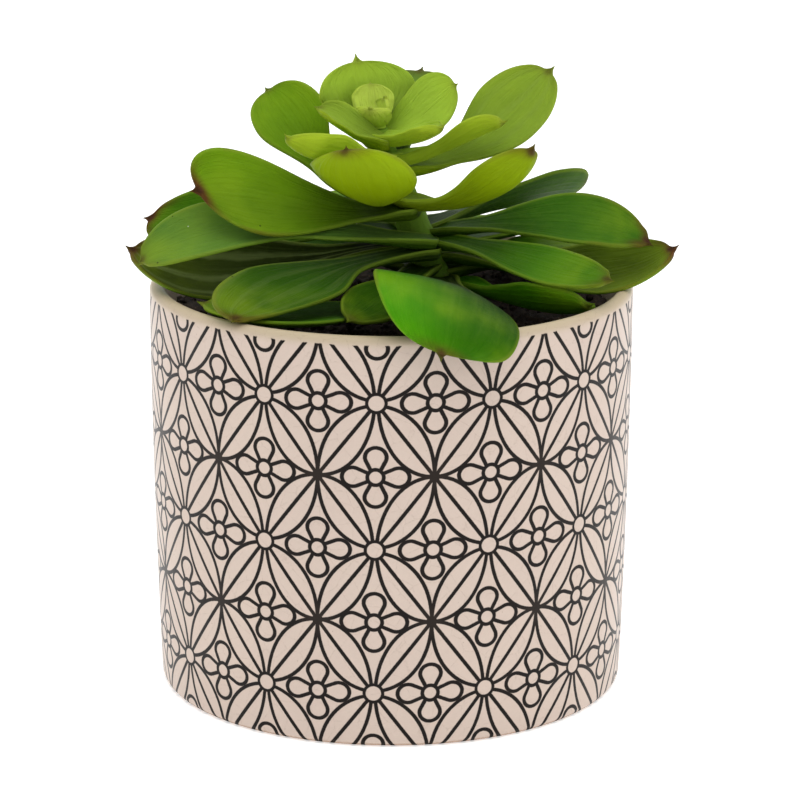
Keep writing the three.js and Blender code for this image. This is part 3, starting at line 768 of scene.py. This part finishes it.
def through(three, t):
    """The value at t of the parabola through three values at t = 0, 0.5 and 1."""
    first, middle, last = three
    return first * (1 - t) * (1 - 2 * t) + middle * 4 * t * (1 - t) + last * t * (2 * t - 1)


def point_half_width(beyond, size):
    """Half width of the fine point, by the distance past the blade's round end, less than zero before it."""
    beyond /= size
    if beyond > 0:
        return size * POINT_WIDTH * math.exp(-beyond / POINT_TAPER)
    return size * POINT_WIDTH * (1 - beyond / POINT_TAPER) * smooth((beyond + POINT_ROOT) / POINT_ROOT)


def half_width(leaf, t):
    """Half width of a leaf at share t of its length: stalk, spoon-shaped blade, and the fine point."""
    along = clamp01((t - leaf["stalk"]) / (1 - leaf["stalk"]))
    if along < leaf["widest"]:
        blade = mix(STALK_HALF_WIDTH, leaf["width"], smooth(along / leaf["widest"]))
    else:
        out = (along - leaf["widest"]) / (1 - leaf["widest"])
        blade = leaf["width"] * max(0.0, 1 - out * out) ** leaf["tip"]
    blade += BASE_FLARE * (1 - smooth(t * leaf["length"] / BASE_FLARE_REACH))
    return (blade**4 + point_half_width((t - 1) * leaf["length"], leaf["point"]) ** 4) ** 0.25


def root_reach(clear, askew):
    """How far from the stem's centre a stalk's root is, so that its end keeps clear as it passes."""
    cup = math.radians(STALK_CUP)
    half = STALK_HALF_WIDTH * math.sin(cup) / cup
    if clear * math.tan(askew) <= half:
        return clear / math.cos(askew)
    return half * math.sin(askew) + math.sqrt(clear**2 - (half * math.cos(askew)) ** 2)


def leaf_root(leaf):
    """Where a leaf's midrib leaves the stem."""
    if "at" in leaf:
        return np.array(leaf["at"], float)
    root = math.radians(leaf.get("root", leaf["az"]))
    leaning = STEM_LEAN * abs(math.cos(root))
    tilt = STALK_THICKNESS / 2 * (abs(math.sin(math.radians(leaf["pitch"][0]))) + leaning)
    askew = math.asin(abs(math.sin(root - math.radians(leaf["az"]))))
    reach = root_reach(stem_radius(leaf["z"]) + CLEARANCE + tilt, askew)
    return stem_centre(leaf["z"]) + reach * np.array([math.cos(root), math.sin(root), 0])


def midrib(leaf):
    """Points along a leaf's midrib, with the tangent, side and upper directions at each."""
    points, tangents, sides, uppers = [], [], [], []
    point = leaf_root(leaf)
    for i in range(MIDRIB_STEPS + 1):
        t = i / MIDRIB_STEPS
        pitch = math.radians(through(leaf["pitch"], t ** leaf["bend"]))
        azimuth = math.radians(leaf["az"] + leaf["turn"] * t)
        roll = math.radians(leaf["roll"] * smooth(t / ROLLED_BY))
        level = np.array([math.sin(azimuth), -math.cos(azimuth), 0])
        out = math.cos(pitch)
        tangent = np.array([math.cos(azimuth) * out, math.sin(azimuth) * out, math.sin(pitch)])
        upright = np.cross(level, tangent)
        points.append(point)
        tangents.append(tangent)
        sides.append(level * math.cos(roll) - upright * math.sin(roll))
        uppers.append(upright * math.cos(roll) + level * math.sin(roll))
        point = point + tangent * (leaf["length"] / MIDRIB_STEPS)
    return [np.array(rows) for rows in (points, tangents, sides, uppers)]


def leaf_mesh(leaf):
    """A leaf's points and faces, and for each point its marks.

    The marks are the share along, the share across and the face (1 upper, -1 under), then the distances in
    millimetres to the point of the leaf and to its margin.
    """
    rows = midrib(leaf)
    shares = [1 - (1 - i / ALONG) ** CROWDING for i in range(ALONG + 1)]
    point_share = POINT_REACH * leaf["point"] / leaf["length"]
    shares += [1 + point_share * (i + 1) / POINT_STEPS for i in range(POINT_STEPS)]
    points, marks = [], []
    heel = range(0 if "at" in leaf else HEEL_STEPS, 0, -1)
    for step in heel:
        angle = math.pi / 2 * step / HEEL_STEPS
        root, tangent, side, up = (row[0] for row in rows)
        centre = root - tangent * HEEL_BACK * math.sin(angle)
        centre = centre + (stem_centre(leaf["z"]) - root) * (1 - math.cos(angle))
        half = (STALK_HALF_WIDTH + BASE_FLARE) * (1 - HEEL_NARROWING * (1 - math.cos(angle)))
        section(leaf, 0, half, (centre, tangent, side, up), points, marks)
    for t in shares:
        place = clamp01(t) * MIDRIB_STEPS
        centre, tangent, side, up = (
            np.array([np.interp(place, range(MIDRIB_STEPS + 1), column) for column in row.T]) for row in rows
        )
        centre = centre + tangent * max(0.0, t - 1) * leaf["length"]
        section(leaf, t, half_width(leaf, t), (centre, tangent, side, up), points, marks)
    count = 2 * (ACROSS + 1) + 2
    return points, ring_faces(len(heel) + len(shares), count), marks


def section(leaf, t, half, frame, points, marks):
    """Adds one arched section: the upper face, a rounded edge, the under face and the other edge."""
    centre, tangent, side, up = frame
    seed = sum(ord(letter) for letter in leaf["name"])
    blade_share = smooth(t / BLADE_FROM)
    middle = mix(STALK_THICKNESS, BLADE_THICKNESS, blade_share)
    thinning = min(1.0, half / THIN_BELOW)
    edge = min(EDGE_THICKNESS, EDGE_PER_WIDTH * half)
    arch = math.radians(mix(STALK_CUP, leaf["cup"], blade_share))
    bent = min(max(abs(arch), FLATTEST), half / (middle / 2 + TIGHTEST))
    cup = -bent if arch < 0 else bent
    to_end = (1 - t) * leaf["length"]
    folded = smooth((t - FOLDS_FROM) / FOLDS_RISE) * smooth((1 - t) / FOLDS_FALL)
    fold_depth = leaf["folds"] * folded * thinning
    upper, lower = [], []
    for k in range(ACROSS + 1):
        u = 2 * k / ACROSS - 1
        angle = cup * u
        aside = half / cup * math.sin(angle)
        normal = up * math.cos(angle) - side * math.sin(angle)
        surface = centre + side * aside + up * (half / cup) * (1 - math.cos(angle))
        surface = surface + tangent * (leaf["skew"] * blade_share * aside)
        stray = noise.noise(Vector((seed, t * 5, u * 2)))
        surface = surface + normal * (MARGIN_WAVE * abs(u) ** 3 * thinning * stray)
        thickness = mix(mix(edge, middle, thinning), edge, u * u)
        fold = noise.noise(Vector((seed + FOLD_SEED, u * 7, t * 1.5)))
        groove = GROOVE_DEPTH * math.exp(-((u / GROOVE_HALF_WIDTH) ** 2))
        crease = fold_depth * (fold - groove)
        near = (math.hypot(to_end, aside), min(abs(to_end), half * (1 - abs(u))))
        upper.append((surface + normal * (thickness / 2 + crease * (1 - u * u)), (t, u, 1), near))
        lower.append((surface - normal * thickness / 2, (t, u, -1), near))
    ends = []
    for sign, last in ((1, -1), (-1, 0)):
        angle = cup * sign
        outward = side * math.cos(angle) * sign + up * math.sin(angle) * sign
        rim = (upper[last][0] + lower[last][0]) / 2
        bulge = rim + outward * edge * EDGE_BULGE
        ends.append((bulge, (t, sign * EDGE_MARK, 0), (math.hypot(to_end, half), 0)))
    for place, mark, near in [*upper, ends[0], *reversed(lower), ends[1]]:
        points.append(place)
        marks.append((mark, near))


def leaf_material(name, leaf):
    """Waxy leaf: two faces, stalk and left side darkened as painted shade, pale margin, stripes along it,
    painted sheen on the stalk and in pale streaks, brown round its point, soft shine.
    """
    graph = Graph(name)
    along, across, face = graph.attribute("blade")
    to_point, to_margin, _ = graph.attribute("near")
    where = graph.position()
    upper, under = (linear(colour) for colour in TONES[leaf["tone"]])
    blush = leaf["blush"]

    cloud = graph.noise(where, 0.07, 3.0)
    stripes = graph.noise((across * 9.0, along * 2.2, face), 1.0, 4.0, 0.6)
    mottled = graph.noise(where, 0.9, 4.0, 0.6)
    skin = graph.blend(face.ramp(-0.5, 0.5), under, upper)
    # Painted shade: the skin is darkened towards the stalk, as far along as dark says, and on its left side,
    # where shade falls.
    root = 1.0 - along.ramp(*leaf["dark"])
    left = 1.0 - across.ramp(-0.5, 0.8)
    light = (1.0 - root * leaf["shade"]) * (1.0 - left * leaf["side_shade"])
    skin = graph.brighter(skin, light * (cloud * 0.5 + stripes * 0.2 + 0.5))
    skin = graph.blend(along.ramp(0.55, 1.0) * cloud.ramp(0.3, 0.7) * 0.46, skin, linear(END_GREEN))
    # A pale film, partly the wax's own colour and partly painted sheen, strongest on the stalk.
    wax_and_sheen = (mottled * 0.5 + stripes).ramp(0.62, 1.0) * (root * 0.14 + 0.04)
    skin = graph.blend(wax_and_sheen, skin, linear(WAX_AND_SHEEN_GREEN))
    # Pale streaks of painted sheen, on the leaves that have them.
    sheen_ribs = (across * RIBS + cloud * 6.0).sine().ramp(0.1, 1.0) * (stripes + 0.3).least(1.0)
    skin = graph.blend(sheen_ribs * leaf["sheen_streaks"], skin, linear(SHEEN_STREAK_GREEN))
    skin = graph.blend((1.0 - to_margin.ramp(0.0, 0.9)) * 0.28, skin, linear(MARGIN_GREEN))

    # brown round the point and along the outer margin, darkest on the point itself
    round_point = (1.0 - (to_point + cloud * 6.0).ramp(4.0, 12.0)) * (1.0 - to_margin.ramp(0.5, 3.2))
    margin = (1.0 - to_margin.ramp(0.1, 1.1)) * along.ramp(0.5, 0.9) * cloud.ramp(0.35, 0.6)
    browned = ((round_point + margin * 0.7) * blush).least(0.92)
    skin = graph.blend(browned, skin, linear(BLUSH_BROWN))
    on_point = (1.0 - to_point.ramp(0.3, 1.9)) * min(1, 0.15 + 1.5 * blush)
    skin = graph.blend(on_point, skin, linear(POINT_BROWN))
    specks = graph.specks(where, 0.11, 0.035)
    skin = graph.blend(specks * 0.8, skin, linear(SPECK_DARK))
    dust = graph.specks((where[1], where[2], where[0]), 0.09, 0.022)
    skin = graph.blend(dust * 0.7, skin, linear(DUST_PALE))

    graph.plug(graph.shader.inputs["Base Color"], skin)
    graph.plug(graph.shader.inputs["Roughness"], 0.4 + mottled * 0.16 + stripes * 0.06)
    graph.set(Subsurface_Weight=0.1, Subsurface_Radius=(0.9, 1.0, 0.2), Subsurface_Scale=2 * MM)
    graph.set(Specular_IOR_Level=0.06)
    graph.bump(stripes * 1.6 + mottled * 0.35, 0.35)
    return graph.material


def split_marks(marks):
    """The two kinds of marks as the attributes that leaf_material reads."""
    return {"blade": [blade for blade, _ in marks], "near": [(*near, 0) for _, near in marks]}


def make_leaf(leaf):
    leaf = {**LEAF_DEFAULTS, **leaf}
    name = leaf["name"]
    points, faces, marks = leaf_mesh(leaf)
    skin = leaf_material(name + "_skin", leaf)
    new_object(name + "_blade", points, faces, skin, name, split_marks(marks))


def make_bud():
    """The closed innermost leaves, with the short core that carries them."""
    tip = stem_centre(STEM_TIP)
    look = dict(stalk=0, folds=0.08, tone="bud", blush=0.02, shade=0.1, point=0.3)
    look = {**LEAF_DEFAULTS, **look}
    points, faces, marks = [], [], []
    for number, leaf in enumerate(BUD_LEAVES):
        az = math.radians(leaf["az"])
        at = tip + np.array([math.cos(az) * leaf["reach"], math.sin(az) * leaf["reach"], BUD_LIFT])
        more, quads, marked = leaf_mesh({**look, **leaf, "at": at, "name": f"bud{number}"})
        faces += [tuple(v + len(points) for v in quad) for quad in quads]
        points += more
        marks += marked
    start = len(points)
    for height in np.linspace(CLEARANCE, BUD_CORE_HEIGHT, BUD_CORE_RINGS):
        radius = BUD_CORE_RADIUS * (1 - BUD_CORE_NARROWING * smooth(height / BUD_CORE_HEIGHT))
        for k in range(BUD_CORE_SIDES):
            angle = k * math.tau / BUD_CORE_SIDES
            points.append(tip + np.array([radius * math.cos(angle), radius * math.sin(angle), height]))
            marks.append(BUD_CORE_MARKS)
    faces += ring_faces(BUD_CORE_RINGS, BUD_CORE_SIDES, start)
    new_object("crown_bud_leaves", points, faces, leaf_material("bud_skin", look), "crown_bud",
               split_marks(marks))


# ---------- stage, light and camera ----------

FLOOR_REACH = 4  # metres
CAMERA_TARGET = Vector((2.2, 0, 70.8))
CAMERA_DISTANCE = 900
CAMERA_ELEVATION = 15.3  # degrees above the horizon
CAMERA_ROLL = 0.13  # degrees
CAMERA_LENS = 161.5
CAMERA_SEES = 20  # metres
SENSOR = 36

# The light from all round: the way to where it is brightest or dimmest, the cosines of the angle from there
# between which it changes, and its strength outside and inside them.
WORLD_LIGHT = (
    dict(toward=(0, -1, 0), cosines=(0.1, 0.9), strengths=(0.6, 0.18)),
    dict(toward=(0, 0, 1), cosines=(0.1, 0.95), strengths=(0.0, 0.55)),
)


def make_floor():
    """A wide white floor that glows a little, so that it stays white under the pot's soft shadow."""
    graph = Graph("floor")
    graph.set(Base_Color=(0.9, 0.9, 0.9), Roughness=0.9, Specular_IOR_Level=0.1)
    graph.set(Emission_Color=(1.0, 1.0, 1.0), Emission_Strength=0.5)
    mesh = bpy.data.meshes.new("floor")
    corners = [(x * FLOOR_REACH, y * FLOOR_REACH, 0) for x, y in ((-1, -1), (1, -1), (1, 1), (-1, 1))]
    mesh.from_pydata(corners, [], [(0, 1, 2, 3)])
    mesh.materials.append(graph.material)
    floor = bpy.data.objects.new("floor", mesh)
    bpy.context.scene.collection.objects.link(floor)


def softbox(name, place, size, radiance):
    """A square light that faces the pot. place and size are in millimetres."""
    light = bpy.data.lights.new(name, "AREA")
    light.shape = "SQUARE"
    light.size = size * MM
    light.energy = radiance * math.pi * (size * MM) ** 2
    lamp = bpy.data.objects.new(name, light)
    lamp.location = Vector(place) * MM
    aim = Vector((0, 0, POT_HEIGHT)) * MM - lamp.location
    lamp.rotation_euler = aim.to_track_quat("-Z", "Y").to_euler()
    bpy.context.scene.collection.objects.link(lamp)


def make_world():
    """White all round, brightest above and dimmer on the camera's side, as in a photo booth."""
    world = bpy.data.worlds.new("booth")
    bpy.context.scene.world = world
    world.use_nodes = True
    tree = world.node_tree
    background = next(n for n in tree.nodes if n.type == "BACKGROUND")
    coordinates = tree.nodes.new("ShaderNodeTexCoord")
    total = tree.nodes.new("ShaderNodeMath")
    for light, socket in zip(WORLD_LIGHT, total.inputs):
        facing = tree.nodes.new("ShaderNodeVectorMath")
        facing.operation = "DOT_PRODUCT"
        facing.inputs[1].default_value = light["toward"]
        tree.links.new(coordinates.outputs["Generated"], facing.inputs[0])
        change = tree.nodes.new("ShaderNodeMapRange")
        change.interpolation_type = "SMOOTHSTEP"
        change.inputs["From Min"].default_value, change.inputs["From Max"].default_value = light["cosines"]
        change.inputs["To Min"].default_value, change.inputs["To Max"].default_value = light["strengths"]
        tree.links.new(facing.outputs["Value"], change.inputs["Value"])
        tree.links.new(change.outputs["Result"], socket)
    tree.links.new(total.outputs[0], background.inputs["Strength"])
    background.inputs["Color"].default_value = (1, 1, 1, 1)


def make_camera():
    """A long lens in front of the pot, looking slightly down."""
    elevation = math.radians(CAMERA_ELEVATION)
    back = Vector((0, -math.cos(elevation), math.sin(elevation)))
    camera = bpy.data.cameras.new("camera")
    camera.lens = CAMERA_LENS
    camera.sensor_width = SENSOR
    camera.clip_end = CAMERA_SEES
    eye = bpy.data.objects.new("camera", camera)
    turn = (-back).to_track_quat("-Z", "Y").to_matrix().to_4x4()
    roll = Matrix.Rotation(math.radians(CAMERA_ROLL), 4, "Z")
    eye.matrix_world = Matrix.Translation((CAMERA_TARGET + back * CAMERA_DISTANCE) * MM) @ turn @ roll
    bpy.context.scene.collection.objects.link(eye)
    bpy.context.scene.camera = eye


make_floor()
make_world()
softbox("top", (60, -250, 850), 600, 1.6)
softbox("left", (-900, -300, 350), 500, 0.45)
softbox("right", (850, -350, 400), 500, 0.8)
make_camera()
bpy.context.scene.view_settings.view_transform = "Standard"

make_pot()
make_soil()
make_stem()
for leaf in LEAVES:
    make_leaf(leaf)
make_bud()
